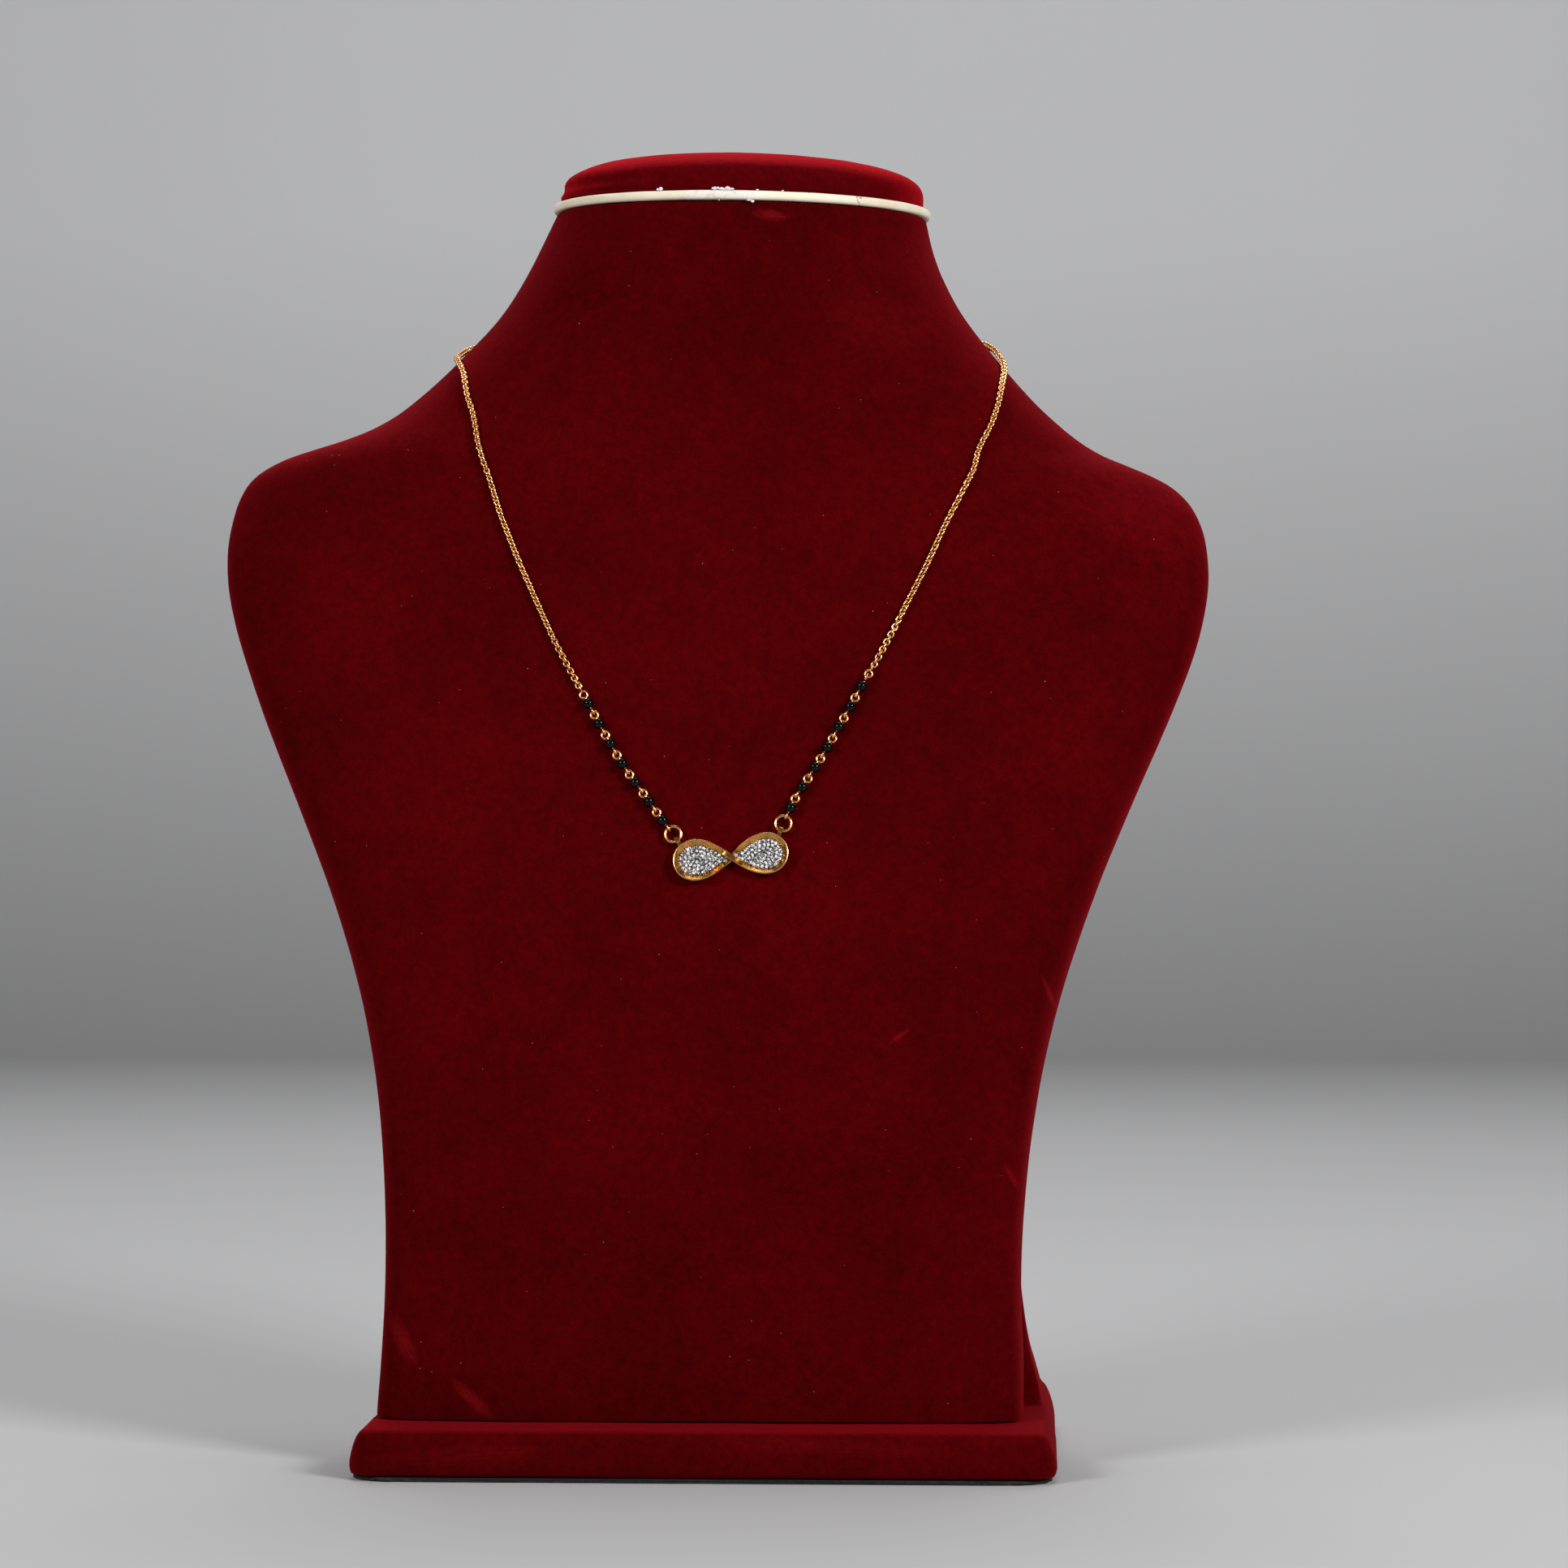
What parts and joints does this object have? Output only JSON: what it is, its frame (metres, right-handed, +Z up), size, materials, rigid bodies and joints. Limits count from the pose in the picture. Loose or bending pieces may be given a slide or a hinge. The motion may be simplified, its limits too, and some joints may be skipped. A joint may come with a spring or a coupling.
{
  "type": "mangalsutra necklace on neck bust",
  "caption": "Gold cable-chain mangalsutra with black glass beads and a stone-set figure-of-eight pendant, worn on a red velvet neck bust with a base.",
  "frame": {"origin": "Middle of the underside of the black sheet, where the bust stands on the table.", "axes": "+Z up along the bust's height, +X to the viewer's right across the shoulders, +Y away from the viewer, so the chest faces -Y."},
  "size_m": [0.225, 0.1244, 0.2971],
  "materials": {
    "velvet": "deep red velvet with a short pile",
    "cream_disc": "cream painted board edge with fine cracks",
    "black_sheet": "thin black felt-like sheet",
    "gold": "polished yellow gold plate",
    "black_glass": "glossy black glass",
    "clear_stone": "clear faceted stones with a bright sparkle"
  },
  "bodies": {
    "root": {"torso": "velvet", "neck_disc": "cream_disc", "neck_cap": "velvet", "base": "velvet", "base_pad": "black_sheet", "left_chain": "gold", "right_chain": "gold", "clasp": "gold", "join_link": "gold", "left_bead_1": "black_glass", "left_bead_2": "black_glass", "left_bead_3": "black_glass", "left_bead_4": "black_glass", "left_bead_5": "black_glass", "left_bead_6": "black_glass", "left_bead_7": "black_glass", "right_bead_1": "black_glass", "right_bead_2": "black_glass", "right_bead_3": "black_glass", "right_bead_4": "black_glass", "right_bead_5": "black_glass", "right_bead_6": "black_glass", "right_bead_7": "black_glass", "left_wire_1": "gold", "left_wire_2": "gold", "left_wire_3": "gold", "left_wire_4": "gold", "left_wire_5": "gold", "left_wire_6": "gold", "left_wire_7": "gold", "right_wire_1": "gold", "right_wire_2": "gold", "right_wire_3": "gold", "right_wire_4": "gold", "right_wire_5": "gold", "right_wire_6": "gold", "right_wire_7": "gold", "left_ring": "gold", "right_ring": "gold", "pendant_frame": "gold", "left_stones": "clear_stone", "right_stones": "clear_stone"}
  },
  "joints": []
}
